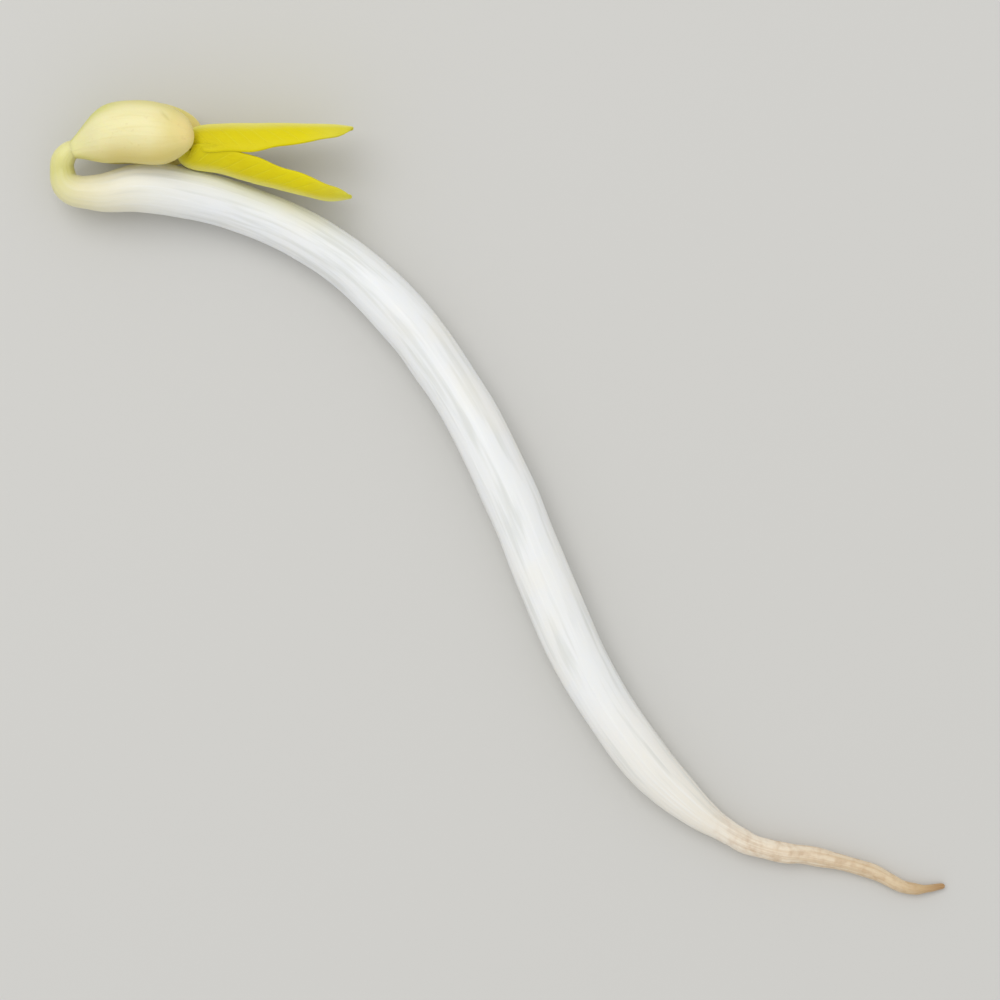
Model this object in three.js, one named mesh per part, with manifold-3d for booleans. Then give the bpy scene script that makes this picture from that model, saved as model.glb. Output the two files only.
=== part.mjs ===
// A mung bean sprout, as picked, lying on a flat surface.
//
// Millimetres, +Z up. The surface is z = 0, and the origin is the middle of the sprout's footprint on it.
// Seen from above, +X is to the right and +Y is up: the head with its hook is at the upper left and the
// root at the lower right.
//
// A sprout grows one axis, the root running on into the stem, which bends over in a hook at its top. There
// the axis carries two cotyledons, the halves of the bean, and goes on between them as the young shoot with
// its first pair of leaves.

import * as THREE from "three";
import { mergeVertices } from "three/addons/utils/BufferGeometryUtils.js";
import Module from "manifold-3d";

const wasm = await Module();
wasm.setup();

const degrees = THREE.MathUtils.degToRad;
const { smoothstep, lerp } = THREE.MathUtils;

// Driving dimensions

// The bend of the hook, which the places below are measured from
const HOOK = new THREE.Vector3(-26.81, 19.81, 0);

// Stem and root, from the cotyledons down to the root's tip: places in plan, with the radius there and the
// height of the underside above the surface. Where that is nil the round underside is pressed flat.
const AXIS = [
  { x: 2.5, y: 1.66, lift: 2.25, radius: 0.48 },
  { x: 1.45, y: 1.42, lift: 2.07, radius: 0.56 },
  { x: 0.66, y: 0.92, lift: 1.83, radius: 0.7 },
  { x: 0.46, y: 0.0, lift: 1.54, radius: 0.77 },
  { x: 0.86, y: -0.93, lift: 1.44, radius: 0.95 },
  { x: 2.3, y: -1.33, lift: 1.34, radius: 1.08 },
  { x: 5.4, y: -1.13, lift: 1.0, radius: 1.38 },
  { x: 8.4, y: -1.5, lift: 0.6, radius: 1.46 },
  { x: 11.4, y: -2.27, lift: 0.34, radius: 1.47 },
  { x: 15.2, y: -3.95, lift: 0.1, radius: 1.54 },
  { x: 19.6, y: -7.3, lift: 0, radius: 1.62 },
  { x: 23.6, y: -12.3, lift: 0.08, radius: 1.66 },
  { x: 26.9, y: -18.4, lift: 0.2, radius: 1.68 },
  { x: 29.6, y: -24.9, lift: 0.16, radius: 1.67 },
  { x: 32.6, y: -31.2, lift: 0.02, radius: 1.62 },
  { x: 35.6, y: -35.5, lift: 0, radius: 1.5 },
  { x: 37.9, y: -37.9, lift: 0.08, radius: 1.18 },
  { x: 39.9, y: -39.5, lift: 0.24, radius: 0.8 },
  { x: 42.6, y: -40.9, lift: 0.3, radius: 0.64 },
  { x: 46.0, y: -41.5, lift: 0.1, radius: 0.57 },
  { x: 49.4, y: -42.4, lift: 0, radius: 0.5 },
  { x: 52.0, y: -43.5, lift: 0.02, radius: 0.4 },
  { x: 53.9, y: -43.3, lift: 0.14, radius: 0.15 },
];
const FLATTENED = 0.08; // how far the underside is pressed in where it is flat

// The head, which the hook turns back along the stem. Its pieces have places in its own frame: +X from the
// hook towards the tips of the leaves, +Z from the lower cotyledon to the upper one.
const HEAD = {
  place: new THREE.Vector3(0.9, 1.62, 2.54),
  rise: degrees(4.5),
  roll: degrees(5),
};

const COTYLEDON = {
  start: new THREE.Vector2(-0.3, -0.38),
  length: 8.3,
  halfWidth: 1.84,
  thickness: 1.6, // from the inner face to the crown of the back
  innerCrown: 0.1, // how far the inner face swells towards the other half
  bow: 0.67, // how far the middle bends away from the stem
  baseShare: 0.5, // width at the base as a share of the full width
  fullest: 0.39, // where along the length the full width is reached
  belly: 0.2, // by how much of its width the side next to the stem swells on from there
  bellied: 0.76, // where along the length it has swollen most
  blunt: 0.5, // 0 for the ends of an ellipse, 1 for the bluntest
  innerFace: 0.93, // from the middle of the head to the inner face, at the base
  lean: degrees(5), // how far it leans away from the stem
  opening: degrees(6.5), // how far it leans away from the middle of the head
  closing: degrees(7), // how far the two halves lean together on the side away from the stem
};

const SHOOT = {
  route: [[2, 0], [4.5, -0.08], [7.3, -0.35]],
  radius: 0.5,
  tipRadius: 0.42,
};

const LEAF = {
  thickness: 0.6,
  thinFrom: 0.6, // where along the length it begins to thin towards the tip
  tipShare: 0.45, // thickness at the tip as a share of the full one
  cupped: degrees(92), // how far each half blade turns in from the midrib, at the base
  tipCupped: degrees(60), // and at the tip
};

// The two leaves: one bends away from the stem, outward = 1, and the other towards it, outward = -1. The
// keel is the back of the midrib, by its places and how deep the blade is there, from keel to margin.
const LEAVES = [
  {
    outward: 1,
    turned: degrees(6),
    keel: [
      { x: 6.4, y: -0.1, depth: 0.75 },
      { x: 7.0, y: 0.55, depth: 0.8 },
      { x: 7.9, y: 1.03, depth: 1.38 },
      { x: 9.4, y: 1.14, depth: 1.5 },
      { x: 10.9, y: 1.14, depth: 1.58 },
      { x: 12.4, y: 1.13, depth: 1.38 },
      { x: 14.2, y: 1.1, depth: 1.06 },
      { x: 15.9, y: 1.04, depth: 0.76 },
      { x: 17.25, y: 0.86, depth: 0.38 },
    ],
  },
  {
    outward: -1,
    turned: degrees(-6),
    keel: [
      { x: 6.4, y: -0.65, depth: 0.75 },
      { x: 6.9, y: -1.34, depth: 0.98 },
      { x: 7.7, y: -1.64, depth: 1.36 },
      { x: 9.0, y: -1.84, depth: 1.46 },
      { x: 10.4, y: -2.24, depth: 1.48 },
      { x: 12.0, y: -2.68, depth: 1.32 },
      { x: 13.8, y: -3.15, depth: 1.16 },
      { x: 15.6, y: -3.54, depth: 0.88 },
      { x: 17.1, y: -3.4, depth: 0.4 },
    ],
  },
];

// How finely the curved surfaces are divided
const FACETS = {
  stem: { sides: 14, ringsPerPlace: 6 },
  cotyledon: { around: 24, along: 16 },
  shoot: { sides: 12, rings: 6 },
  leaf: { along: 16, across: 6 },
};

const UP = new THREE.Vector3(0, 0, 1);

function solidOf(geometry) {
  const bare = geometry.clone();
  bare.deleteAttribute("normal");
  bare.deleteAttribute("uv");
  const shell = mergeVertices(bare);
  return new wasm.Manifold(
    new wasm.Mesh({
      numProp: 3,
      vertProperties: new Float32Array(shell.attributes.position.array),
      triVerts: new Uint32Array(shell.index.array),
    }),
  );
}

function geometryOf(solid) {
  const mesh = solid.getMesh();
  const geometry = new THREE.BufferGeometry();
  geometry.setAttribute("position", new THREE.BufferAttribute(mesh.vertProperties, 3));
  geometry.setIndex(new THREE.BufferAttribute(mesh.triVerts, 1));
  geometry.computeVertexNormals();
  return geometry;
}

// Moves every vertex of a geometry to where the rule puts it
function reshaped(geometry, rule) {
  const places = geometry.attributes.position;
  const vertex = new THREE.Vector3();
  for (let i = 0; i < places.count; i += 1) {
    vertex.fromBufferAttribute(places, i);
    places.setXYZ(i, ...rule(vertex).toArray());
  }
  return geometry;
}

// A round body along a curve: a cylinder of unit radius and height, bent along it ring by ring
function roundAlong(curve, radiusAt, sides, rings) {
  const cylinder = new THREE.CylinderGeometry(1, 1, 1, sides, rings);
  return reshaped(cylinder, (vertex) => {
    const share = vertex.y + 0.5;
    const tangent = curve.getTangent(share);
    const side = new THREE.Vector3().crossVectors(tangent, UP).normalize();
    const top = new THREE.Vector3().crossVectors(side, tangent);
    const radius = radiusAt(share);
    return curve
      .getPoint(share)
      .addScaledVector(side, vertex.x * radius)
      .addScaledVector(top, vertex.z * radius);
  });
}

// Stem and root: one body, pressed flat where it rests
function stemGeometry() {
  const { sides, ringsPerPlace } = FACETS.stem;
  const rings = ringsPerPlace * (AXIS.length - 1);
  const centres = AXIS.map((p) => new THREE.Vector3(p.x, p.y, p.radius + p.lift - FLATTENED));
  const route = new THREE.CatmullRomCurve3(centres);
  const girth = new THREE.SplineCurve(AXIS.map((p, i) => new THREE.Vector2(i, p.radius)));
  const round = roundAlong(route, (share) => girth.getPoint(share).y, sides, rings);
  const reach = 200;
  const ground = new THREE.BoxGeometry(reach, reach, reach).translate(0, 0, -reach / 2);
  return geometryOf(solidOf(round).subtract(solidOf(ground)));
}

// Half of the bean: a full rounded back, an almost flat inner face, and a narrow base.
// Its base is at x = 0, its inner face at z = 0 and its back towards +Z.
function cotyledonGeometry() {
  const { length, halfWidth, thickness, innerCrown, bow, blunt } = COTYLEDON;
  const { baseShare, fullest, belly, bellied } = COTYLEDON;
  const { around, along: stations } = FACETS.cotyledon;
  const ball = new THREE.SphereGeometry(1, around, stations).rotateZ(Math.PI / 2);
  return reshaped(ball, ({ x, y, z }) => {
    const station = lerp(x, Math.sin((x * Math.PI) / 2), blunt);
    const along = (1 + station) / 2;
    const full = lerp(baseShare, 1, smoothstep(along, 0, fullest));
    const crown = z > 0 ? thickness * full : innerCrown;
    const swollen = smoothstep(along, fullest, bellied) - smoothstep(along, bellied, 1);
    const sideways = y < 0 ? y * (1 + belly * swollen) : y;
    return new THREE.Vector3(
      length * along,
      halfWidth * full * sideways + bow * (1 - station * station),
      crown * z,
    );
  });
}

// A young leaf on its stalk, cupped about its midrib like a boat. Its hollow side faces -Y for outward = 1
// and +Y for outward = -1, and it is turned by an angle about its keel.
function leafGeometry({ outward, turned, keel }) {
  const { thickness, thinFrom, tipShare, cupped, tipCupped } = LEAF;
  const middle = new THREE.Vector2(0, 0);
  const places = keel.map(({ x, y, depth }) => new THREE.Vector3(x, y, depth));
  const line = new THREE.CatmullRomCurve3(places, false, "catmullrom");
  const slab = new THREE.BoxGeometry(1, 2, 1, FACETS.leaf.along, FACETS.leaf.across, 1);
  return reshaped(slab, (vertex) => {
    const along = vertex.x + 0.5;
    const { x, y, z: depth } = line.getPointAt(along);
    const tangent = line.getTangentAt(along);
    const ahead = new THREE.Vector2(tangent.x, tangent.y).normalize();
    const cup = lerp(cupped, tipCupped, along);
    const hollow = depth / (1 - Math.cos(cup));
    const wall = thickness * lerp(1, tipShare, smoothstep(along, thinFrom, 1));
    const layer = hollow + (vertex.z - 0.5) * wall;
    const turn = -vertex.y * cup;
    const section = new THREE.Vector2(layer * Math.cos(turn) - hollow, layer * Math.sin(turn));
    section.rotateAround(middle, turned).multiplyScalar(outward);
    return new THREE.Vector3(x - section.x * ahead.y, y + section.x * ahead.x, section.y);
  });
}

// The young shoot between the cotyledons, with its first two leaves grown to it
function plumuleGeometry() {
  const { route, radius, tipRadius } = SHOOT;
  const { sides, rings } = FACETS.shoot;
  const line = new THREE.CatmullRomCurve3(route.map(([x, y]) => new THREE.Vector3(x, y, 0)));
  const shoot = solidOf(roundAlong(line, (share) => lerp(radius, tipRadius, share), sides, rings));
  const leaves = LEAVES.map((leaf) => solidOf(leafGeometry(leaf)));
  return geometryOf(leaves.reduce((body, leaf) => body.add(leaf), shoot));
}

const tissue = (color, roughness) => new THREE.MeshStandardMaterial({ color, roughness, metalness: 0 });
const WHITE_FLESH = tissue(0xe7e8e6, 0.35);
const BEAN_FLESH = tissue(0xefe5b2, 0.5);
const YELLOW_LEAF = tissue(0xd8cb14, 0.55);

function piece(name, geometry, material) {
  const mesh = new THREE.Mesh(geometry, material);
  mesh.name = name;
  return mesh;
}

// One of the two cotyledons: side = 1 above the shoot, -1 its mirror image below
function cotyledon(name, side) {
  const mesh = piece(name, cotyledonGeometry(), BEAN_FLESH);
  mesh.position.set(COTYLEDON.start.x, COTYLEDON.start.y, side * COTYLEDON.innerFace);
  mesh.rotation.set(-side * COTYLEDON.closing, -side * COTYLEDON.opening, COTYLEDON.lean);
  mesh.scale.z = side;
  return mesh;
}

const head = new THREE.Group();
head.position.copy(HEAD.place);
head.rotation.set(HEAD.roll, -HEAD.rise, 0, "ZYX");
head.add(cotyledon("cotyledon_upper", 1), cotyledon("cotyledon_lower", -1));
head.add(piece("plumule", plumuleGeometry(), YELLOW_LEAF));

const sprout = new THREE.Group();
sprout.position.copy(HOOK);
sprout.add(piece("stem", stemGeometry(), WHITE_FLESH), head);

const part = new THREE.Group();
part.add(sprout);

export default part;
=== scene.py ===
# %% [markdown]
# # A mung bean sprout
#
# The frame holds four plain solids of one sprout that lies on a table: the stem with its root, the two halves
# of the bean, and the young shoot with its first leaves. This lesson replaces each solid by a finer piece in
# the same place and gives each piece the finish of fresh plant tissue. A sprout is small, so its sizes are
# written in millimetres and turned into metres where Blender takes them.

# %% Load the solids
import math
from bisect import bisect

import bmesh
import bpy
from mathutils import Matrix, Vector
from mathutils.geometry import interpolate_bezier


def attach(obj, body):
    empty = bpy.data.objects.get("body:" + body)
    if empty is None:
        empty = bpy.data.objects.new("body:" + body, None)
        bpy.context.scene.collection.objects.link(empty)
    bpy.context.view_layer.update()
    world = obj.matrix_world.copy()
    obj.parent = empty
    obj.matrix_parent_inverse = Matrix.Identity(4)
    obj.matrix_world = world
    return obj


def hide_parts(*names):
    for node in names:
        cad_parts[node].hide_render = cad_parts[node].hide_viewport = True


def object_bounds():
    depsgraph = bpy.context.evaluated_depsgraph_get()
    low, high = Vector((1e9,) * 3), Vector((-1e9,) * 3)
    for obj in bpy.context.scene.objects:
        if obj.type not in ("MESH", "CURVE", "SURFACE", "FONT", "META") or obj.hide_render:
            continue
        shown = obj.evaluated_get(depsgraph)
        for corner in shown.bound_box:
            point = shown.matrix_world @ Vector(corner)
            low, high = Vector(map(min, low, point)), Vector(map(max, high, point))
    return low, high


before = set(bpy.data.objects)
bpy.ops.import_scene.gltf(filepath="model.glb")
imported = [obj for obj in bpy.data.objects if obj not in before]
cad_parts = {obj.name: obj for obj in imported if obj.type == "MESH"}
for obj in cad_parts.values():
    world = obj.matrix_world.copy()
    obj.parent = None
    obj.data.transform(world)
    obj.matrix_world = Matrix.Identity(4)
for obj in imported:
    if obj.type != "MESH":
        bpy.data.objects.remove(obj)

CAD_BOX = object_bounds()
MM = 0.001


def mm(x, y, z):
    return Vector((x, y, z)) * MM


def in_mm(sides):
    return [round(side / MM, 2) for side in sides]


print("solids:", sorted(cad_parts))
print("size in mm:", in_mm(CAD_BOX[1] - CAD_BOX[0]))

# %% [markdown]
# ## Camera, floor and light
#
# The sprout is seen from straight above, with +Y up in the picture. A long lens at some distance keeps the
# perspective as flat as in a picture taken from above a table. A camera that has not been turned looks down
# already, so it only has to be lifted over the middle of the sprout, as high as its field asks.

# %% Camera
FIELD = 61.0  # mm that the picture shows, across and up
LENS = 110.0  # focal length
SENSOR = 36.0  # width of what the lens throws its picture on
NEAREST = 10.0  # mm from the lens at which the camera begins to see

middle = (CAD_BOX[0] + CAD_BOX[1]) / 2
eye = Vector((middle.x, middle.y, FIELD * MM * LENS / SENSOR))
bpy.ops.object.camera_add(location=eye)
camera = bpy.context.object
camera.data.lens = LENS
camera.data.sensor_width = SENSOR
camera.data.clip_start = NEAREST * MM
bpy.context.scene.camera = camera
print("camera", round(eye.z / MM), "mm above the table")

# %% [markdown]
# The floor is a plain pale table top. It lies a hair below the sprout's underside, so that no two faces share
# one plane.

# %% Floor
FLOOR_SIZE = 900.0
FLOOR_DROP = 0.01

bpy.ops.mesh.primitive_plane_add(size=FLOOR_SIZE * MM, location=mm(0, 0, -FLOOR_DROP))
floor = bpy.context.object
floor.name = "floor"
print("floor", FLOOR_SIZE, "mm square")

# %% [markdown]
# The light is soft and bright, as under a large diffuser: one wide area light above, a little towards the
# upper left, gives the stem its gentle shading and a short soft shadow. An even pale sky fills the shaded
# side.

# %% Light
KEY_PLACE = mm(-150, 190, 480)
KEY_SIZE = 420.0
KEY_POWER = 0.95
SKY_WHITE = (1.0, 1.0, 1.0, 1.0)
SKY_STRENGTH = 0.74

bpy.ops.object.light_add(type="AREA", location=KEY_PLACE)
key = bpy.context.object
key.data.shape = "DISK"
key.data.size = KEY_SIZE * MM
key.data.energy = KEY_POWER
key.rotation_euler = KEY_PLACE.to_track_quat("Z", "Y").to_euler()

sky = bpy.data.worlds.new("sky")
sky.use_nodes = True
sky.node_tree.nodes["Background"].inputs["Color"].default_value = SKY_WHITE
sky.node_tree.nodes["Background"].inputs["Strength"].default_value = SKY_STRENGTH
bpy.context.scene.world = sky
bpy.context.scene.view_settings.view_transform = "Standard"
print("key light", KEY_POWER, "W, sky", SKY_STRENGTH)

# %% [markdown]
# ## Hand tools
#
# An operator acts on all that is selected, so each piece begins with nothing selected. In edit mode a
# modeller picks a ring of vertices and scales or moves it. Two short helpers do that here: one finds the
# rings of a fresh primitive by their place along an axis, the other selects one of them.

# %% Selecting
RING_DECIMALS = 4  # two places in mm that agree to this many decimals are on one ring


def nothing_selected():
    if bpy.context.mode != "OBJECT":
        bpy.ops.object.mode_set(mode="OBJECT")
    bpy.ops.object.select_all(action="DESELECT")


def rings_along(piece, axis):
    """The vertices of a fresh primitive, grouped by their place along an axis, lowest first."""
    rings = {}
    for vertex in piece.data.vertices:
        rings.setdefault(round(vertex.co[axis] / MM, RING_DECIMALS), []).append(vertex.index)
    return sorted(rings.items())


def hold(piece, chosen):
    """In edit mode, selects the vertices with these numbers and no others."""
    shell = bmesh.from_edit_mesh(piece.data)
    chosen = set(chosen)
    for vertex in shell.verts:
        vertex.select = vertex.index in chosen
    shell.select_flush_mode()
    bmesh.update_edit_mesh(piece.data)


def lower_half(piece):
    return [vertex.index for vertex in piece.data.vertices if vertex.co.z < 0]


nothing_selected()
print("selected to begin with:", len(bpy.context.selected_objects))

# %% [markdown]
# What is held is scaled about the origin, or turned about it. With no window the centre has to be given each
# time, and a turn goes the other way, so its angle changes sign.


# %% Scaling and turning what is held
def scale_held(x, y, z):
    bpy.ops.transform.resize(value=(x, y, z), center_override=(0, 0, 0))


def turn_held(angle, axis):
    bpy.ops.transform.rotate(value=-angle, orient_axis=axis, center_override=(0, 0, 0))


print("centre of every scale and turn: the origin")

# %% [markdown]
# Tissue is never quite even. A Displace modifier with soft noise swells and dents a surface by a tenth of a
# millimetre or so, and a Subdivision Surface modifier rounds what the rings left angular. Both are applied,
# so that the finished piece is a plain mesh.

# %% Finishing a surface
ROUNDING = 1  # how often every edge is halved
MERGE = 0.001  # mm within which two vertices are one


def rounded(piece):
    modifier = piece.modifiers.new("rounded", "SUBSURF")
    modifier.levels = modifier.render_levels = ROUNDING
    bpy.ops.object.modifier_apply(modifier=modifier.name)


def uneven(piece, size, depth, group=""):
    """Swells and dents a surface, in mm: size is how wide the swellings are, depth how far they reach."""
    noise = bpy.data.textures.new(piece.name + "_unevenness", "CLOUDS")
    noise.noise_scale = size * MM
    modifier = piece.modifiers.new("uneven", "DISPLACE")
    modifier.texture = noise
    modifier.texture_coords = "LOCAL"
    modifier.strength = depth * MM
    modifier.vertex_group = group
    bpy.ops.object.modifier_apply(modifier=modifier.name)


def closed_and_smooth(piece):
    """Merges doubles, points the faces outwards and shades them smooth; the piece is the active one."""
    bpy.ops.object.mode_set(mode="EDIT")
    bpy.ops.mesh.select_all(action="SELECT")
    bpy.ops.mesh.remove_doubles(threshold=MERGE * MM)
    bpy.ops.mesh.normals_make_consistent(inside=False)
    bpy.ops.object.mode_set(mode="OBJECT")
    bpy.ops.object.shade_smooth()
    print(piece.name, "closed, with", len(piece.data.polygons), "faces")


print("rounding", ROUNDING, "and merging within", MERGE, "mm")

# %% [markdown]
# ## Stem and root
#
# A sprout's stem and root are one axis. It starts between the two bean halves, bends over in a hook, thickens
# into the crisp white stem and, past a short collar, narrows to a wiry root. Blender's tool for a round body
# with a course of its own is a curve with a bevel: each point has a place and a radius, and the curve does
# the rest. The points are those that the solid was made from: x and y in plan, measured from the bend of the
# hook, the height of the underside and the radius. Only the neck is a little fuller, so that it meets the
# bean, where the solids keep a gap.

# %% Course of the axis
HOOK = Vector((-26.81, 19.81, 0.0))
FLATTENED = 0.08  # how far the round underside is pressed in where it rests
AXIS = [
    (2.5, 1.66, 2.25, 0.48),
    (1.45, 1.42, 2.07, 0.56),
    (0.66, 0.92, 1.83, 0.7),
    (0.46, 0.0, 1.54, 0.77),
    (0.86, -0.93, 1.44, 0.95),
    (2.3, -1.3, 1.34, 1.11),
    (5.4, -1.0, 1.0, 1.51),
    (8.4, -1.41, 0.6, 1.55),
    (11.4, -2.27, 0.34, 1.47),
    (15.2, -3.95, 0.1, 1.54),
    (19.6, -7.3, 0.0, 1.62),
    (23.6, -12.3, 0.08, 1.66),
    (26.9, -18.4, 0.2, 1.68),
    (29.6, -24.9, 0.16, 1.67),
    (32.6, -31.2, 0.02, 1.62),
    (35.6, -35.5, 0.0, 1.5),
    (37.9, -37.9, 0.08, 1.18),
    (39.9, -39.5, 0.24, 0.8),
    (42.6, -40.9, 0.3, 0.64),
    (46.0, -41.5, 0.1, 0.57),
    (49.4, -42.4, 0.0, 0.5),
    (52.0, -43.5, 0.02, 0.4),
    (53.9, -43.3, 0.14, 0.15),
]
stem_places = [HOOK + Vector((x, y, lift + radius - FLATTENED)) for x, y, lift, radius in AXIS]
stem_radii = [radius for _, _, _, radius in AXIS]
print("axis from", stem_places[0].to_tuple(1), "to", stem_places[-1].to_tuple(1), "mm")

# %% [markdown]
# The curve is converted to a mesh while it is the only thing selected. The mesh comes ring by ring, after the
# two end caps, so the middles of the rings tell how far along the axis each vertex lies. That length is kept
# on the vertices as an attribute, because the colour of a sprout changes along its length.


# %% Length along a round body
def keep(piece, name, values):
    """Keeps one number for every vertex as an attribute, for the finish to read."""
    piece.data.attributes.new(name, "FLOAT", "POINT").data.foreach_set("value", values)


def measure_along(body, sides):
    """Keeps the length from the first ring, in mm. The far end's cap comes first, then the start's."""
    places = [vertex.co for vertex in body.data.vertices]
    rings = [places[i : i + sides] for i in range(2 * sides, len(places), sides)]
    middles = [sum(ring, Vector()) / sides for ring in rings]
    lengths = [0.0]
    for before, after in zip(middles, middles[1:]):
        lengths.append(lengths[-1] + (after - before).length / MM)
    of_ring = [lengths[-1], 0.0, *lengths]
    keep(body, "along", [length for length in of_ring for _ in range(sides)])


def length_of(body):
    return max(item.value for item in body.data.attributes["along"].data)


print("points on the axis:", len(AXIS))


# %% Round body along a curve
def round_body(name, places, radii, sides, steps):
    """A round mesh along a smooth course, in mm, with the length along it on every vertex."""
    nothing_selected()
    bpy.ops.curve.primitive_bezier_curve_add()
    body = bpy.context.object
    body.name = name
    spline = body.data.splines[0]
    spline.bezier_points.add(len(places) - len(spline.bezier_points))
    for point, place, radius in zip(spline.bezier_points, places, radii):
        point.co = place * MM
        point.radius = radius
        point.handle_left_type = point.handle_right_type = "AUTO"
    spline.radius_interpolation = "CARDINAL"
    body.data.twist_mode = "Z_UP"
    body.data.resolution_u = steps
    body.data.bevel_depth = MM
    body.data.bevel_resolution = sides // 2 - 2
    body.data.use_fill_caps = True
    bpy.ops.object.convert(target="MESH")
    measure_along(body, sides)
    return body


STEM_SIDES = 28
STEM_STEPS = 9
stem = round_body("stem_and_root", stem_places, stem_radii, STEM_SIDES, STEM_STEPS)
STEM_LENGTH = length_of(stem)
print("stem and root", round(STEM_LENGTH, 1), "mm long,", len(stem.data.vertices), "vertices")

# %% [markdown]
# The stem swells a little here and there, and the root is knobbly. Two passes of soft noise give that: a
# broad shallow one over the whole axis and a finer one that a vertex group limits to the root. Then the
# underside is pressed flat on the table again, with a scale of nil in z on whatever went below.

# %% Uneven growth
ROOT_START = 61.0  # mm along the axis where the collar begins to narrow
ROOT_FULL = 67.0  # and where it has become the root
SWELL_SIZE, SWELL_DEPTH = 5.5, 0.26
KNOB_SIZE, KNOB_DEPTH = 1.3, 0.3

closed_and_smooth(stem)
root_group = stem.vertex_groups.new(name="root")
for index, item in enumerate(stem.data.attributes["along"].data):
    share = (item.value - ROOT_START) / (ROOT_FULL - ROOT_START)
    root_group.add([index], min(max(share, 0.0), 1.0), "REPLACE")
uneven(stem, SWELL_SIZE, SWELL_DEPTH)
uneven(stem, KNOB_SIZE, KNOB_DEPTH, group="root")
rounded(stem)

bpy.ops.object.mode_set(mode="EDIT")
hold(stem, lower_half(stem))
scale_held(1, 1, 0)
bpy.ops.object.mode_set(mode="OBJECT")
lowest = min(vertex.co.z for vertex in stem.data.vertices)
print("stem of", len(stem.data.polygons), "faces, lowest at", round(lowest / MM, 4), "mm")

# %% [markdown]
# ## The head
#
# The hook turns the head back along the stem. Its pieces are modelled in a frame of their own, where +X runs
# from the hook to the tips of the leaves and +Z from the lower bean half to the upper one, and a matrix puts
# them in place. Applying that transform moves it into the mesh, so every finished piece sits at the origin.

# %% Place of the head
HEAD_PLACE = Vector((0.9, 1.62, 2.54))
HEAD_RISE = math.radians(4.5)
HEAD_ROLL = math.radians(5)

HEAD = (
    Matrix.Translation((HOOK + HEAD_PLACE) * MM)
    @ Matrix.Rotation(-HEAD_RISE, 4, "Y")
    @ Matrix.Rotation(HEAD_ROLL, 4, "X")
)


def put(piece, matrix):
    """Moves a piece by a matrix and leaves the move in its mesh."""
    nothing_selected()
    piece.select_set(True)
    bpy.context.view_layer.objects.active = piece
    piece.matrix_world = matrix
    bpy.ops.object.transform_apply(location=True, rotation=True, scale=True)


print("head at", (HOOK + HEAD_PLACE).to_tuple(2), "mm")

# %% [markdown]
# ### Bean halves
#
# A cotyledon is half of the bean: a plump rounded back, an almost flat inner face, a blunt end and a narrow
# base that is grown to the stem. A sphere has its poles where the base and the blunt end are, so it is the
# natural start. It is laid along X, its lower half is pressed nearly flat, and then each ring is scaled to
# its width and moved to its place. On the side next to the stem the rings swell on towards the blunt end, and
# the base rings dip towards the shoot, where they are grown on.

# %% Size of a bean half
BEAN_LENGTH = 8.3
BEAN_HALF_WIDTH = 1.84
BEAN_THICKNESS = 1.6
INNER_CROWN = 0.1  # how far the inner face swells
BEAN_BOW = 0.67  # how far the middle bends away from the stem
BASE_SHARE = 0.5  # width at the base as a share of the full width
FULLEST = 0.39  # where along the length the full width is reached
BELLY = 0.25  # by how much of its width the side next to the stem swells on from there
BELLIED = 0.76  # where along the length it has swollen most
BLUNT = 0.5  # 0 for the ends of an ellipse, 1 for the bluntest
DIP = 0.95  # how far the base bends in to the shoot
DIP_SHARE = 0.4  # over how much of the length

BEAN_START = Vector((-0.3, -0.38, 0.93))  # in the head's frame, on the inner face of the upper half
LEAN = math.radians(5)  # away from the stem
OPENING = math.radians(6.5)  # away from the shoot
CLOSING = math.radians(7)  # towards the other half, on the side away from the stem
print("bean half of", BEAN_LENGTH, "by", 2 * BEAN_HALF_WIDTH, "by", BEAN_THICKNESS, "mm")

# %% [markdown]
# A ball of unit radius comes first, because all the measures above are then plain factors. Two attributes
# remember where on the half a vertex lies, for its finish: how far along, and how near to which edge.

# %% Ball for a bean half
BALL_SEGMENTS, BALL_RINGS = 48, 34
AXIS_CLEAR = 1e-4  # least distance from the ball's axis, so that the poles divide by no zero


def ball(name):
    """A ball of 1 mm radius with its poles on X."""
    nothing_selected()
    bpy.ops.mesh.primitive_uv_sphere_add(
        segments=BALL_SEGMENTS, ring_count=BALL_RINGS, radius=MM, rotation=(0, math.pi / 2, 0)
    )
    fresh = bpy.context.object
    fresh.name = name
    bpy.ops.object.transform_apply(location=False, rotation=True, scale=False)
    places = [vertex.co / MM for vertex in fresh.data.vertices]
    keep(fresh, "along", [(1 + place.x) / 2 for place in places])
    keep(fresh, "edge", [place.y / max(math.hypot(place.y, place.z), AXIS_CLEAR) for place in places])
    return fresh


print("ball of", BALL_SEGMENTS, "segments and", BALL_RINGS, "rings")


# %% Rings of a bean half
def mix(a, b, share):
    return a + (b - a) * share


def ease(value, low, high):
    """Goes smoothly from 0 at low to 1 at high."""
    share = min(max((value - low) / (high - low), 0.0), 1.0)
    return share * share * (3 - 2 * share)


def shape_ring(half, x, ring, near_stem):
    """Swells, scales and moves the ring of a ball that lies at x."""
    station = mix(x, math.sin(x * math.pi / 2), BLUNT)
    along = (1 + station) / 2
    full = mix(BASE_SHARE, 1, ease(along, 0, FULLEST))
    dip = DIP * (1 - ease(along, 0, DIP_SHARE))
    swollen = ease(along, FULLEST, BELLIED) - ease(along, BELLIED, 1)
    hold(half, near_stem.intersection(ring))
    scale_held(1, 1 + BELLY * swollen, 1)
    hold(half, ring)
    scale_held(1, BEAN_HALF_WIDTH * full, BEAN_THICKNESS * full)
    bow = BEAN_BOW * (1 - station * station)
    bpy.ops.transform.translate(value=mm(BEAN_LENGTH * along - x, bow, -dip))


print("halfway from base to fullest the width is", mix(BASE_SHARE, 1, ease(0.5, 0, 1)), "of the full one")

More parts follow.
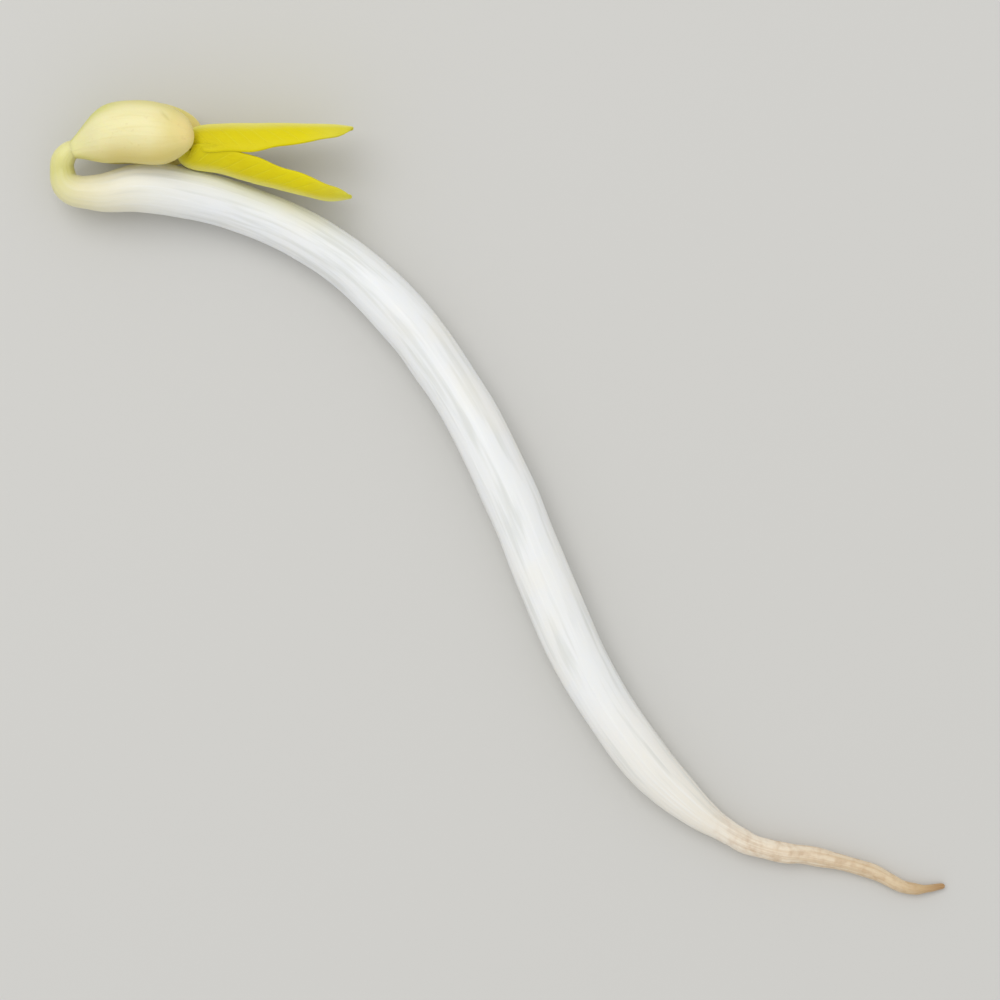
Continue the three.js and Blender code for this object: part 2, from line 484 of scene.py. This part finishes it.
# %% [markdown]
# The two halves are alike. The lower one is the upper one mirrored across the shoot, which turns its faces
# inside out, so the normals are recalculated once the half is in its place.

# %% Bean halves
BEAN_SWELL_SIZE, BEAN_SWELL_DEPTH = 3.0, 0.12


def bean_half(name, side):
    """A half of the bean: side is 1 for the upper one and -1 for the lower one."""
    half = ball(name)
    near_stem = {vertex.index for vertex in half.data.vertices if vertex.co.y < 0}
    rings = rings_along(half, axis=0)
    bpy.ops.object.mode_set(mode="EDIT")
    hold(half, lower_half(half))
    scale_held(1, 1, INNER_CROWN / BEAN_THICKNESS)
    for x, ring in rings:
        shape_ring(half, x, ring, near_stem)
    bpy.ops.object.mode_set(mode="OBJECT")
    rounded(half)
    uneven(half, BEAN_SWELL_SIZE, BEAN_SWELL_DEPTH)
    put(
        half,
        HEAD
        @ Matrix.Translation(mm(BEAN_START.x, BEAN_START.y, side * BEAN_START.z))
        @ Matrix.Rotation(-side * CLOSING, 4, "X")
        @ Matrix.Rotation(-side * OPENING, 4, "Y")
        @ Matrix.Rotation(LEAN, 4, "Z")
        @ Matrix.Scale(side, 4, (0, 0, 1)),
    )
    closed_and_smooth(half)
    return half


bean_upper = bean_half("bean_half_upper", 1)
bean_lower = bean_half("bean_half_lower", -1)
print("bean half", in_mm(bean_upper.dimensions), "mm")

# %% [markdown]
# ### Young shoot
#
# Between the bean halves the axis goes on as the young shoot, a thin stalk that carries the first leaves. It
# is another round body along a curve, and it starts inside the end of the stem, out of which it grows.

# %% Shoot
SHOOT_ROUTE = [(0.9, 0.0), (2.2, 0.0), (4.5, -0.08), (7.3, -0.35)]
SHOOT_RADII = [0.42, 0.48, 0.47, 0.42]
SHOOT_SIDES = 20
SHOOT_STEPS = 8

shoot_places = [Vector((x, y, 0)) for x, y in SHOOT_ROUTE]
shoot = round_body("young_shoot", shoot_places, SHOOT_RADII, SHOOT_SIDES, SHOOT_STEPS)
closed_and_smooth(shoot)
rounded(shoot)
put(shoot, HEAD)
SHOOT_LENGTH = length_of(shoot)
print("shoot", round(SHOOT_LENGTH, 1), "mm long")

# %% [markdown]
# ### First leaves
#
# The two leaves are still folded lengthwise, each like a small boat with its midrib as the keel. A table
# gives places on the keel and how deep the blade is there, from keel to margin. A smooth course through the
# table comes from the same kind of Bezier points that carry the stem: their handles follow from the
# neighbours.

# %% Course of the keels
KEEL_AWAY = [
    (6.4, -0.1, 0.75),
    (7.0, 0.55, 1.05),
    (7.9, 1.03, 1.52),
    (9.4, 1.14, 1.55),
    (10.9, 1.14, 1.58),
    (12.4, 1.13, 1.38),
    (14.2, 1.1, 1.06),
    (15.9, 1.04, 0.76),
    (17.25, 0.86, 0.38),
]
KEEL_TOWARDS = [
    (6.4, -0.65, 0.75),
    (6.9, -1.34, 1.12),
    (7.7, -1.64, 1.5),
    (9.0, -1.84, 1.52),
    (10.4, -2.24, 1.48),
    (12.0, -2.68, 1.32),
    (13.8, -3.15, 1.16),
    (15.6, -3.54, 0.88),
    (17.1, -3.4, 0.4),
]
LEAF_STATIONS = 56
HANDLE = 6  # a handle is a sixth of the way from one neighbour to the other
FINE_STEPS = 50  # places on the course between two points of the table


def smooth_course(places):
    """Places at even lengths along a smooth course, one for each station of a leaf and one for its base."""
    ends = [2 * places[0] - places[1], *places, 2 * places[-1] - places[-2]]
    fine = [places[0]]
    for before, start, end, after in zip(ends, ends[1:], ends[2:], ends[3:]):
        leaving = start + (end - before) / HANDLE
        arriving = end - (after - start) / HANDLE
        fine += interpolate_bezier(start, leaving, arriving, end, FINE_STEPS)[1:]
    lengths = [0.0]
    for here, there in zip(fine, fine[1:]):
        lengths.append(lengths[-1] + (there - here).length)
    even = [lengths[-1] * k / LEAF_STATIONS for k in range(LEAF_STATIONS + 1)]
    return [fine[min(bisect(lengths, length), len(fine) - 1)] for length in even]


print("keels with", LEAF_STATIONS, "stations, tips at", KEEL_AWAY[-1][:2], "and", KEEL_TOWARDS[-1][:2])

# %% [markdown]
# A grid is the start of a leaf: its rows run along the leaf and its columns across, and it brings a UV map in
# which u runs along the leaf and v across it, ready for the veins. First the rows are bent into a trough of
# unit radius. Then each column is scaled to the leaf's depth and height there, turned to the keel's heading
# and moved to its place. The last few columns shrink along a quarter circle, which rounds the tip.

# %% Shape of a leaf
LEAF_ROWS = 18
CUPPED = math.radians(92)  # how far each half turns in from the keel, at the base
TIP_CUPPED = math.radians(60)
TROUGH = math.radians(76)  # the trough that the rows are bent into before the columns are scaled
ROUND_FROM = 0.93  # where along the leaf its tip begins to round off
TIP_LEAST = 0.02  # square of what is left of the depth at the very tip
MARGIN_WAVE = 0.03
WAVES = 4.5


def column_scale(along, depth):
    """How deep and how high the trough becomes at a station."""
    cup = mix(CUPPED, TIP_CUPPED, along)
    hollow = depth / (1 - math.cos(cup))
    into_tip = max(0.0, (along - ROUND_FROM) / (1 - ROUND_FROM))
    tip = math.sqrt(max(1 - into_tip**2, TIP_LEAST))
    wave = 1 + MARGIN_WAVE * math.sin(2 * math.pi * WAVES * along)
    deep = depth * tip * wave / (1 - math.cos(TROUGH))
    high = hollow * math.sin(cup) * tip / math.sin(TROUGH)
    return deep, high


print("leaf of", LEAF_STATIONS, "stations by", LEAF_ROWS, "rows")


# %% Rows and columns of a leaf
def bend_rows(blade, rows):
    """Bends the flat grid into a trough about its middle row, which becomes the keel."""
    for across, row in rows:
        angle = across * TROUGH
        hold(blade, row)
        bpy.ops.transform.translate(value=mm(0, math.cos(angle) - 1 - across, math.sin(angle)))


def lay_columns(blade, columns, course, roll):
    """Scales each column of the trough, turns it to the keel's heading and moves it to the keel."""
    for k, (x, column) in enumerate(columns):
        place = course[k]
        ahead = course[min(k + 1, LEAF_STATIONS)] - course[max(k - 1, 0)]
        hold(blade, column)
        bpy.ops.transform.translate(value=mm(-x, 0, 0))
        scale_held(1, *column_scale(k / LEAF_STATIONS, place.z))
        turn_held(roll, "X")
        turn_held(math.atan2(ahead.y, ahead.x), "Z")
        bpy.ops.transform.translate(value=mm(place.x, place.y, 0))


print("trough of", round(2 * math.degrees(TROUGH)), "degrees")

# %% [markdown]
# The bent sheet has no thickness yet. A Solidify modifier gives the blade its wall, on the hollow side, so
# the outside stays where the keel's table puts it.

# %% Leaves
LEAF_WALL = 0.24
LEAF_SWELL_SIZE, LEAF_SWELL_DEPTH = 2.2, 0.08
HOLLOW_SIDE = 1  # the offset that lays the wall on the side the faces point to
ROLL_AWAY = math.radians(6)
ROLL_TOWARDS = math.radians(180 - 6)  # half a turn, so that its hollow faces the other leaf


def leaf(name, keel, roll):
    nothing_selected()
    bpy.ops.mesh.primitive_grid_add(x_subdivisions=LEAF_STATIONS, y_subdivisions=LEAF_ROWS, size=2 * MM)
    blade = bpy.context.object
    blade.name = name
    rows = rings_along(blade, axis=1)
    columns = rings_along(blade, axis=0)
    bpy.ops.object.mode_set(mode="EDIT")
    bend_rows(blade, rows)
    lay_columns(blade, columns, smooth_course([Vector(place) for place in keel]), roll)
    bpy.ops.object.mode_set(mode="OBJECT")
    wall = blade.modifiers.new("wall", "SOLIDIFY")
    wall.thickness = LEAF_WALL * MM
    wall.offset = HOLLOW_SIDE
    bpy.ops.object.modifier_apply(modifier=wall.name)
    rounded(blade)
    uneven(blade, LEAF_SWELL_SIZE, LEAF_SWELL_DEPTH)
    put(blade, HEAD)
    closed_and_smooth(blade)
    return blade


leaf_away = leaf("leaf_away_from_stem", KEEL_AWAY, ROLL_AWAY)
leaf_towards = leaf("leaf_towards_stem", KEEL_TOWARDS, ROLL_TOWARDS)
print("leaves", in_mm(leaf_away.dimensions), "and", in_mm(leaf_towards.dimensions), "mm")

# %% [markdown]
# ## Finishes
#
# Each finish is a node tree. Written as Python expressions, the sums stay readable: a small class wraps a
# socket, and arithmetic on it adds Math nodes. Any other node comes from its one method, which takes the
# node's type, its settings and what goes into its sockets.


# %% Shader sums
class Signal:
    """An output socket of a node tree that Python's arithmetic works on."""

    def __init__(self, tree, socket=None):
        self.tree = tree
        self.socket = socket

    def add(self, kind, settings=None, sockets=None, output=0):
        node = self.tree.nodes.new(kind)
        for name, value in (settings or {}).items():
            if name == "stops":
                ramp = node.color_ramp.elements
                while len(ramp) < len(value):
                    ramp.new(1.0)
                for element, (position, color) in zip(ramp, value):
                    element.position = position
                    element.color = color
            else:
                setattr(node, name, value)
        for name, value in (sockets or {}).items():
            if isinstance(value, Signal):
                self.tree.links.new(value.socket, node.inputs[name])
            else:
                node.inputs[name].default_value = value
        return Signal(self.tree, node.outputs[output])

    def math(self, operation, first, second=0.0):
        return self.add("ShaderNodeMath", {"operation": operation}, {0: first, 1: second})

    def __add__(self, other):
        return self.math("ADD", self, other)

    def __sub__(self, other):
        return self.math("SUBTRACT", self, other)

    def __rsub__(self, other):
        return self.math("SUBTRACT", other, self)

    def __mul__(self, other):
        return self.math("MULTIPLY", self, other)

    def __truediv__(self, other):
        return self.math("DIVIDE", self, other)

    def __rtruediv__(self, other):
        return self.math("DIVIDE", other, self)

    __radd__ = __add__
    __rmul__ = __mul__

    def eased(self, low, high):
        """0 at low, 1 at high, smooth between."""
        return self.add(
            "ShaderNodeMapRange",
            {"interpolation_type": "SMOOTHSTEP"},
            {"Value": self, "From Min": low, "From Max": high},
        )

    def colors(self, *stops):
        return self.add("ShaderNodeValToRGB", {"stops": stops}, {"Fac": self})

    def between(self, first, second):
        """A colour that goes from first to second as this goes from 0 to 1."""
        return self.add("ShaderNodeMix", {"data_type": "RGBA"}, {0: self, 6: first, 7: second}, output=2)

    def noise(self, scale, detail=2.0):
        return self.add("ShaderNodeTexNoise", {}, {"Vector": self, "Scale": scale, "Detail": detail})


print("a Signal has", len([name for name in vars(Signal) if not name.startswith("__")]), "tools of its own")


# %% Colours as a screen shows them
def paint(red, green, blue):
    """A colour as a screen shows it, 0 to 255, in the linear values that Blender takes."""
    linear = [((c / 255 + 0.055) / 1.055) ** 2.4 for c in (red, green, blue)]
    return (*linear, 1.0)


print("half grey in linear values:", round(paint(128, 128, 128)[0], 3))

# %% [markdown]
# Every finish here is moist plant tissue: light enters it, wanders about and comes out again near by, which
# is subsurface scattering, and a thin film of water gives it a soft shine, which is a coat. Those are the
# same all over a piece, so they are set once on the shader. Colour, roughness and relief differ from place
# to place.


# %% A tissue
def tissue(name, constants):
    """A new material with its shader, and a signal to start its node tree from."""
    material = bpy.data.materials.new(name)
    material.use_nodes = True
    tree = material.node_tree
    shader = tree.nodes["Principled BSDF"]
    for socket, value in constants.items():
        shader.inputs[socket].default_value = value
    return material, Signal(tree), shader


def feed(shader, start, color, roughness, height, relief):
    """Links the colour, roughness and relief of a tissue to its shader. Relief is in mm."""
    bump = start.add(
        "ShaderNodeBump", {}, {"Height": height, "Distance": relief * MM, "Strength": 1.0}
    )
    for socket, value in (("Base Color", color), ("Roughness", roughness), ("Normal", bump)):
        start.tree.links.new(value.socket, shader.inputs[socket])


RELIEF = 0.05  # mm from the lowest to the highest of a tissue's relief
print("relief of a tissue", RELIEF, "mm")

# %% [markdown]
# Plant tissue is patterned in two ways. Mottles lie in it at any place, so they read the Object coordinates:
# a soft broad noise and a sharp fine one, the grain. Fibres and wrinkles run along a round body, so their
# noise reads the kept length, drawn out, and the turn round the body, which the curve left in the UV map.

# %% Patterns of a tissue
GRAIN_DETAIL = 4.0
RADII_ROUND = 6  # a circle is about six of its radii round


def kept(start, name):
    """The attribute that was kept on the vertices while a piece was shaped."""
    return start.add("ShaderNodeAttribute", {"attribute_name": name}, output=2)


def mottles(start, broad, fine):
    """The broad noise and the grain, each with that many patches to the metre."""
    place = start.add("ShaderNodeTexCoord", output=3)
    return place.noise(broad), place.noise(fine, GRAIN_DETAIL)


def lengthwise(start, along, stretch, lines):
    """A noise along a round body: stretch is its length in mm, lines how many there are round the body."""
    chart = start.add("ShaderNodeUVMap")
    turn = start.add("ShaderNodeSeparateXYZ", {}, {0: chart}, output=1) * (2 * math.pi)
    vector = start.add(
        "ShaderNodeCombineXYZ",
        {},
        {
            "X": along / stretch,
            "Y": start.math("COSINE", turn) * (lines / RADII_ROUND),
            "Z": start.math("SINE", turn) * (lines / RADII_ROUND),
        },
    )
    return vector.noise(1.0)


print("patterns: mottles in any place, lines along a body")

# %% [markdown]
# The stem is white and slightly glassy, with fine lines along it. Towards the hook it turns cream and then a
# pale yellow green, and the root goes from cream to tan, with a brown tip. A colour ramp over the length
# along the axis paints that. Then grey streaks, where the tissue is clear, white fibres and cream clouds
# break up the white, and tan streaks and brown wrinkles the root. Each is a tint with a share of its own, the
# most that it takes of the colour.

# %% Colours of the stem
STEM_COLORS = [
    # the first stop, where the neck meets the bean, is set light for a painted highlight there
    (0.0, paint(240, 234, 170)),
    (3.0, paint(215, 211, 135)),
    (5.0, paint(230, 223, 184)),
    (7.2, paint(234, 230, 210)),
    (9.4, paint(236, 236, 229)),
    (13.0, paint(237, 239, 240)),
    (52.0, paint(239, 240, 239)),
    (61.0, paint(238, 234, 224)),
    (67.0, paint(236, 223, 203)),
    (75.0, paint(219, 198, 166)),
    (76.6, paint(196, 168, 128)),
    (STEM_LENGTH, paint(160, 118, 72)),
]
NECK = (5.0, 11.0)  # mm along the axis over which the neck turns white
STREAK_GREY, STREAK_SHARE = paint(208, 210, 204), 0.38
STREAK_LEAST = 0.1  # what the streaks take off the white stem too
FIBRE_WHITE, FIBRE_SHARE = paint(246, 247, 246), 0.35
CLOUD_CREAM, CLOUD_SHARE = paint(241, 238, 228), 0.4
ROOT_TAN, TAN_SHARE = paint(198, 166, 122), 0.45
WRINKLE_BROWN, WRINKLE_SHARE = paint(180, 142, 96), 0.5
print("stem of", len(STEM_COLORS), "colours over", round(STEM_LENGTH, 1), "mm")


# %% Stem finish
def stem_finish():
    material, start, shader = tissue(
        "moist_white_stem",
        {
            "Subsurface Weight": 0.5,
            "Subsurface Radius": (1.0, 0.95, 0.85),
            "Subsurface Scale": 1.1 * MM,
            "IOR": 1.4,
            "Coat Weight": 0.25,
            "Coat Roughness": 0.2,
        },
    )
    along = kept(start, "along")
    clouds, grain = mottles(start, broad=260.0, fine=2600.0)
    streaks = lengthwise(start, along, stretch=6.0, lines=22)
    fibres = lengthwise(start, along, stretch=9.0, lines=46)
    wrinkles = lengthwise(start, along, stretch=0.5, lines=8)
    root = along.eased(ROOT_START, ROOT_FULL)
    white = along.eased(*NECK) * (1 - root)
    streaked = streaks.eased(0.48, 0.72) * (STREAK_LEAST + STREAK_SHARE * white)

    color = (along / STEM_LENGTH).colors(*[(length / STEM_LENGTH, tint) for length, tint in STEM_COLORS])
    color = streaked.between(color, STREAK_GREY)
    color = (fibres.eased(0.52, 0.7) * white * FIBRE_SHARE).between(color, FIBRE_WHITE)
    color = (clouds.eased(0.5, 0.75) * white * CLOUD_SHARE).between(color, CLOUD_CREAM)
    color = (root * streaks.eased(0.42, 0.7) * TAN_SHARE).between(color, ROOT_TAN)
    color = (root * wrinkles.eased(0.4, 0.85) * WRINKLE_SHARE).between(color, WRINKLE_BROWN)
    roughness = 0.3 + 0.18 * clouds + 0.22 * root
    height = streaks * 0.8 + fibres * 0.5 + grain * (0.15 + 0.5 * root) + wrinkles * root
    feed(shader, start, color, roughness, height, RELIEF)
    return material


stem.data.materials.append(stem_finish())
print("finish of", stem.name, "is", stem.data.materials[0].name)

# %% [markdown]
# The bean halves are cream with a touch of yellow: greener near the base and along the edge away from the
# stem, where light has reached them, ochre on the side next to the stem, which is partly the bean's own tint
# and partly painted shade, and peach to tan at the blunt end.
# Fine veins run from base to end, the surface has a satin shine, and there is a faint crease near the end.
# The two attributes that were kept while the half was shaped say where all this belongs.

# %% Colours of the bean
BEAN_COLORS = [
    # the two stops at the base are set light for a painted highlight where the base meets the neck
    (0.0, paint(232, 226, 154)),
    (0.16, paint(238, 232, 166)),
    (0.36, paint(238, 231, 176)),
    (0.66, paint(239, 231, 176)),
    (0.84, paint(232, 218, 146)),
    (1.0, paint(244, 221, 148)),
]
DRIFT = 0.16  # how far the clouds shift the colours along
BEAN_RIM, RIM_SHARE = paint(214, 205, 118), 0.7
RIM_LESS = 0.4  # what the rim's share loses at the blunt end
# ochre on the side next to the stem: partly the bean's own tint, partly painted shade
BEAN_OCHRE_AND_SHADE, OCHRE_AND_SHADE_SHARE = paint(212, 190, 100), 0.6
BEAN_GREEN, GREEN_SHARE = paint(206, 207, 104), 0.75
BEAN_VEIN, BEAN_VEIN_SHARE = paint(228, 215, 146), 0.35
BEAN_FLECK, FLECK_SHARE = paint(208, 182, 118), 0.25
CREASE_SHADE, CREASE_SHARE = paint(206, 196, 120), 0.35
print("bean of", len(BEAN_COLORS), "colours from base to end")

# %% Crease on the bean
CREASE = (0.79, 0.5)  # where it is, along and towards the edge
CREASE_SIZE = (0.6, 0.22)  # half its length and width in mm


def crease_at(start, along, edge):
    """1 in the middle of the crease, which runs aslant over the half, and 0 outside it."""
    off_x = (along - CREASE[0]) * BEAN_LENGTH
    off_y = (edge - CREASE[1]) * BEAN_HALF_WIDTH
    down_it = (off_x - off_y) / (CREASE_SIZE[0] * math.sqrt(2))
    across_it = (off_x + off_y) / (CREASE_SIZE[1] * math.sqrt(2))
    return 1 - start.math("SQRT", down_it * down_it + across_it * across_it).eased(0.0, 1.0)


print("crease of", 2 * CREASE_SIZE[0], "by", 2 * CREASE_SIZE[1], "mm")


# %% Bean finish
def bean_finish():
    material, start, shader = tissue(
        "satin_cream_bean",
        {
            "Subsurface Weight": 0.3,
            "Subsurface Radius": (1.0, 0.8, 0.4),
            "Subsurface Scale": 0.8 * MM,
            "IOR": 1.42,
            "Coat Weight": 0.15,
            "Coat Roughness": 0.3,
        },
    )
    along = kept(start, "along")
    edge = kept(start, "edge")
    clouds, grain = mottles(start, broad=420.0, fine=3200.0)
    veins = start.add("ShaderNodeCombineXYZ", {}, {"X": along * 2.5, "Y": edge * 9.0}).noise(1.0)
    crease = crease_at(start, along, edge)
    rim = start.math("ABSOLUTE", edge).eased(0.55, 1.0)
    # where the ochre goes: partly the bean's own tint, partly painted shade on the side next to the stem
    ochre_and_shade = (0 - edge).eased(0.15, 0.9) * along.eased(0.15, 0.5) * (1 - along.eased(0.7, 1.0))
    green = edge.eased(0.35, 0.85) * (1 - along.eased(0.35, 0.55))

    color = (along + clouds * DRIFT - DRIFT / 2).colors(*BEAN_COLORS)
    color = (rim * (RIM_SHARE - RIM_LESS * along.eased(0.75, 0.95))).between(color, BEAN_RIM)
    color = (ochre_and_shade * OCHRE_AND_SHADE_SHARE).between(color, BEAN_OCHRE_AND_SHADE)
    color = (green * GREEN_SHARE).between(color, BEAN_GREEN)
    color = (veins.eased(0.5, 0.75) * BEAN_VEIN_SHARE).between(color, BEAN_VEIN)
    color = (grain.eased(0.6, 0.8) * FLECK_SHARE).between(color, BEAN_FLECK)
    color = (crease * CREASE_SHARE).between(color, CREASE_SHADE)
    roughness = 0.4 + 0.16 * clouds
    height = veins * 0.5 + grain * 0.4 - crease
    feed(shader, start, color, roughness, height, RELIEF)
    return material


bean_flesh = bean_finish()
for half in (bean_upper, bean_lower):
    half.data.materials.append(bean_flesh)
print("finish of", bean_upper.name, "and", bean_lower.name, "is", bean_flesh.name)

# %% [markdown]
# The leaves have not greened yet: they are a strong yellow, a little paler in the side veins and at the tip.
# A broad pale band along the midrib is partly the midrib's own paler tint and partly a painted highlight on
# the keel. The veins are drawn from the grid's UV map: v is half at the midrib, and side veins
# leave it at an angle, so they are lines of even steps in u less a share of the distance from the midrib.

# %% Colours of the leaves
LEAF_COLORS = [
    (0.0, paint(206, 197, 60)),
    (0.14, paint(214, 201, 18)),
    (0.35, paint(219, 204, 4)),
    (0.75, paint(224, 210, 8)),
    (1.0, paint(218, 211, 70)),
]
LEAF_PATCH, PATCH_SHARE = paint(210, 190, 2), 0.5
LEAF_VEIN, LEAF_VEIN_SHARE = paint(228, 218, 46), 0.3
# pale band along the midrib: partly its own paler tint, partly a painted highlight on the keel
MIDRIB_AND_HIGHLIGHT, MIDRIB_AND_HIGHLIGHT_SHARE = paint(240, 234, 136), 0.7
VEINS = 13
VEIN_SLANT = 0.22  # how far along the leaf a side vein runs on its way from midrib to margin
VEIN_WANDER = 0.3  # how far the clouds push it, as a share of the step between two veins
print("leaf of", len(LEAF_COLORS), "colours, with", VEINS, "side veins on each half")


# %% Leaf finish
def leaf_finish():
    material, start, shader = tissue(
        "yellow_leaf",
        {
            "Subsurface Weight": 0.25,
            "Subsurface Radius": (1.0, 0.85, 0.15),
            "Subsurface Scale": 0.5 * MM,
            "Specular IOR Level": 0.16,
            "Coat Weight": 0.02,
            "Coat Roughness": 0.35,
        },
    )
    chart = start.add("ShaderNodeUVMap")
    along = start.add("ShaderNodeSeparateXYZ", {}, {0: chart}, output=0)
    across = start.add("ShaderNodeSeparateXYZ", {}, {0: chart}, output=1)
    off_rib = start.math("ABSOLUTE", across - 0.5) * 2
    clouds, grain = mottles(start, broad=500.0, fine=3600.0)
    rib = 1 - off_rib.eased(0.03, 0.12)
    # broad band along the midrib that takes the pale colour: partly real, partly a painted highlight on the
    # keel
    rib_and_keel_highlight = 1 - off_rib.eased(0.05, 0.5)
    phase = (along - off_rib * VEIN_SLANT) * VEINS + clouds * VEIN_WANDER
    crests = start.math("COSINE", phase * (2 * math.pi))
    side_veins = crests.eased(0.82, 1.0) * (1 - off_rib.eased(0.75, 1.0))

    color = along.colors(*LEAF_COLORS)
    color = (clouds.eased(0.45, 0.75) * PATCH_SHARE).between(color, LEAF_PATCH)
    color = (side_veins * LEAF_VEIN_SHARE).between(color, LEAF_VEIN)
    color = (rib_and_keel_highlight * MIDRIB_AND_HIGHLIGHT_SHARE).between(color, MIDRIB_AND_HIGHLIGHT)
    roughness = 0.44 + 0.14 * clouds
    height = rib * 0.6 - side_veins * 0.3 + grain * 0.35
    feed(shader, start, color, roughness, height, RELIEF)
    return material


leaf_flesh = leaf_finish()
for blade in (leaf_away, leaf_towards):
    blade.data.materials.append(leaf_flesh)
print("finish of", leaf_away.name, "and", leaf_towards.name, "is", leaf_flesh.name)

# %% [markdown]
# The young shoot is pale where it leaves the stem and yellow where the leaves begin, with streaks along it as
# on the stem.

# %% Shoot finish
SHOOT_COLORS = [(0.0, paint(228, 222, 160)), (0.6, paint(224, 214, 120)), (1.0, paint(214, 202, 50))]
SHOOT_STREAK, SHOOT_STREAK_SHARE = paint(204, 194, 84), 0.4
SHOOT_RELIEF = 0.04


def shoot_finish():
    material, start, shader = tissue(
        "pale_shoot",
        {
            "Subsurface Weight": 0.3,
            "Subsurface Radius": (1.0, 0.85, 0.4),
            "Subsurface Scale": 0.6 * MM,
            "IOR": 1.4,
            "Coat Weight": 0.2,
            "Coat Roughness": 0.25,
        },
    )
    along = kept(start, "along")
    streaks = lengthwise(start, along, stretch=3.0, lines=14)
    color = (along / SHOOT_LENGTH).colors(*SHOOT_COLORS)
    color = (streaks.eased(0.5, 0.8) * SHOOT_STREAK_SHARE).between(color, SHOOT_STREAK)
    roughness = 0.36 + 0.1 * streaks
    feed(shader, start, color, roughness, streaks, SHOOT_RELIEF)
    return material


shoot.data.materials.append(shoot_finish())
print("finish of", shoot.name, "is", shoot.data.materials[0].name)

# %% [markdown]
# The table top is one pale matt grey, so nothing draws the eye from the sprout.

# %% Floor finish
TABLE_GREY = paint(208, 207, 203)
TABLE_ROUGHNESS = 0.8

table_top = bpy.data.materials.new("pale_table_top")
table_top.use_nodes = True
table_top.node_tree.nodes["Principled BSDF"].inputs["Base Color"].default_value = TABLE_GREY
table_top.node_tree.nodes["Principled BSDF"].inputs["Roughness"].default_value = TABLE_ROUGHNESS
floor.data.materials.append(table_top)
print("finish of", floor.name, "is", table_top.name)

# %% [markdown]
# ## Pieces on the body
#
# Nothing on a sprout moves, so every piece rides on the one body, and the solid that it stands for is hidden.

# %% Pieces on the frame
STANDS_FOR = [
    (stem, "stem", "stem"),
    (bean_upper, "cotyledon_upper", "cotyledon"),
    (bean_lower, "cotyledon_lower", "cotyledon"),
    (shoot, "plumule", "leaf"),
    (leaf_away, "plumule", "leaf"),
    (leaf_towards, "plumule", "leaf"),
]
for piece, node, slot in STANDS_FOR:
    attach(piece, "root")
    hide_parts(node)
print("pieces:", [piece.name for piece, _, _ in STANDS_FOR])

# %% [markdown]
